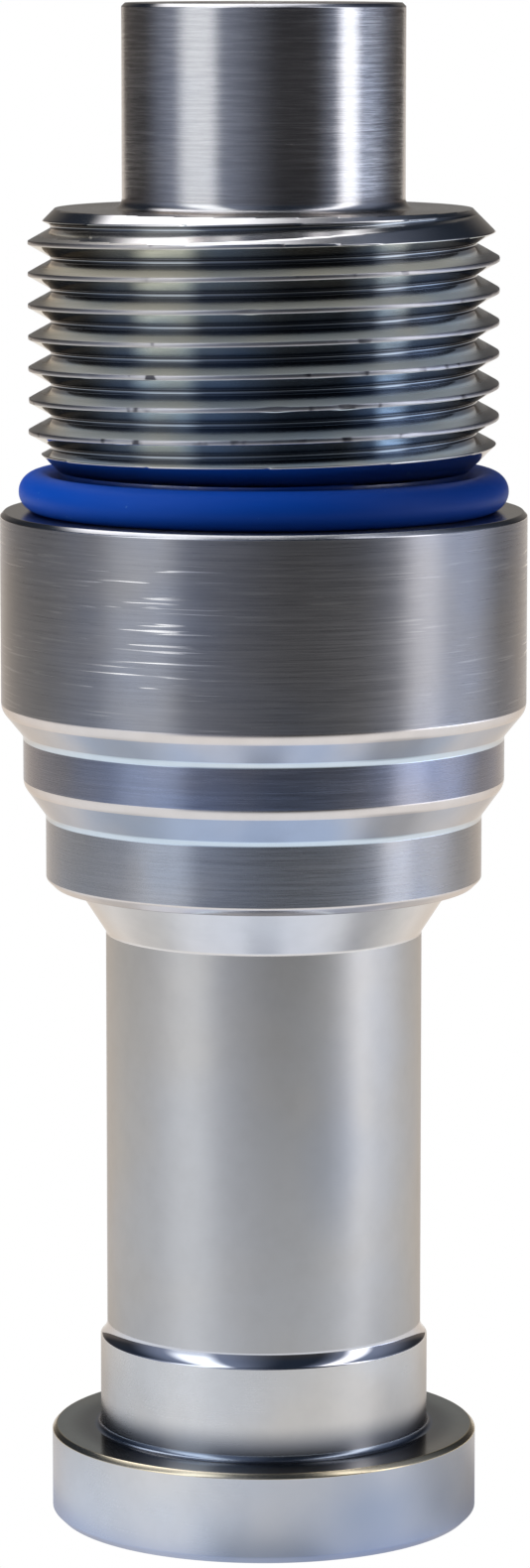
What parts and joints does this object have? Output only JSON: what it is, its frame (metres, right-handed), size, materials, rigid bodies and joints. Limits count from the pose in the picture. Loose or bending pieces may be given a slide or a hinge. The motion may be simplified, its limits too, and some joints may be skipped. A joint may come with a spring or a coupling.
{
  "type": "cartridge valve",
  "caption": "Screw-in poppet cartridge valve with a plain round nose, threaded body, blue O-ring under the thread, stepped collar and a flanged tail.",
  "frame": {"origin": "centre of the flange face at the bottom of the tail", "axes": "+Z along the turning axis from the flange face to the nose; X and Y are radial, with the camera side at -Y"},
  "size_m": [0.0505, 0.0504, 0.1465],
  "materials": {
    "zinc_steel": "bright zinc plate over fine turned steel, faint blue passivation",
    "machined_steel": "bare ground and turned steel, oiled",
    "spring_steel": "dark drawn spring steel",
    "bronze": "plain sintered bronze",
    "blue_rubber": "royal blue moulded elastomer, satin",
    "black_rubber": "black nitrile rubber, satin",
    "seal_plastic": "off-white low-friction seal plastic"
  },
  "bodies": {
    "body": {"valve_body": "zinc_steel", "tail_adapter": "zinc_steel", "collar_o_ring": "blue_rubber", "flange_o_ring": "black_rubber", "tail_backup_ring": "seal_plastic", "tail_o_ring": "black_rubber", "valve_guide": "machined_steel", "guide_bush": "bronze", "guide_shim": "machined_steel", "guide_circlip": "spring_steel", "spring_washer": "machined_steel", "main_spring": "spring_steel"},
    "poppet": {"main_poppet": "machined_steel", "poppet_cap": "machined_steel", "poppet_seal": "seal_plastic", "seal_energiser": "black_rubber", "pilot_plug": "machined_steel", "pilot_spring": "spring_steel"},
    "pilot": {"pilot_pin": "machined_steel", "pilot_seal": "black_rubber"}
  },
  "joints": [
    {"name": "poppet_slide", "type": "slide", "parent": "body", "child": "poppet", "axis": [0, 0, -1], "range_m": [0, 0.009], "stiffness_N_per_m": 2270, "springref_m": -0.005, "deforming": ["main_spring"]},
    {"name": "pilot_slide", "type": "slide", "parent": "poppet", "child": "pilot", "axis": [0, 0, -1], "range_m": [0, 0.0015], "stiffness_N_per_m": 850, "springref_m": -0.0006, "deforming": ["pilot_spring"]}
  ]
}
